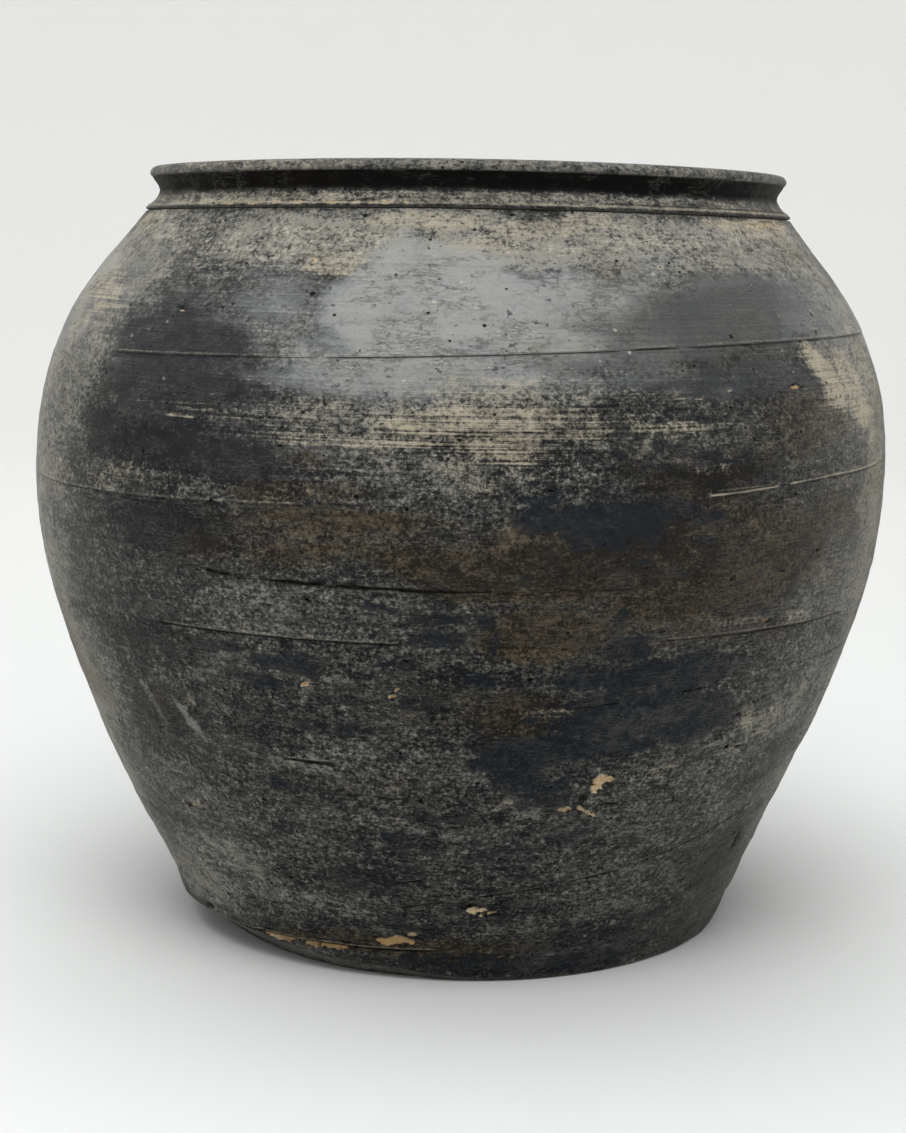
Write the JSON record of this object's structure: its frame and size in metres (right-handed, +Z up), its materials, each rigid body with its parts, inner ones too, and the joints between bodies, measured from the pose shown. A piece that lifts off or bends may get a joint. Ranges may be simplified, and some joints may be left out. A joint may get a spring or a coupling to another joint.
{
  "type": "clay pot",
  "caption": "Wide-bellied black clay pot with a flat foot, lapped wall courses, a grooved shoulder, a short hollow neck and a rolled lip.",
  "frame": {"origin": "on the pot's axis at the underside of the foot", "axes": "+Z up along the pot's axis; the pot is turned, so +X and +Y are level and any direction around it is the same"},
  "size_m": [0.36, 0.36, 0.319],
  "materials": {
    "sooty_foot_clay": "matte fired clay, worn and dusty at the edge",
    "scraped_clay": "matte fired clay with scraping marks",
    "smoked_clay": "low satin, smoked, with pale dusty scratches",
    "burnished_clay": "burnished satin",
    "collar_clay": "matte fired clay, rubbed pale on the edges"
  },
  "bodies": {
    "root": {"base_slab": "sooty_foot_clay", "foot_course": "sooty_foot_clay", "lower_wall_course": "scraped_clay", "middle_wall_course": "scraped_clay", "belly_course": "smoked_clay", "upper_belly_course": "smoked_clay", "shoulder_course": "burnished_clay", "neck_collar": "collar_clay", "rim_lip": "collar_clay"}
  },
  "joints": []
}
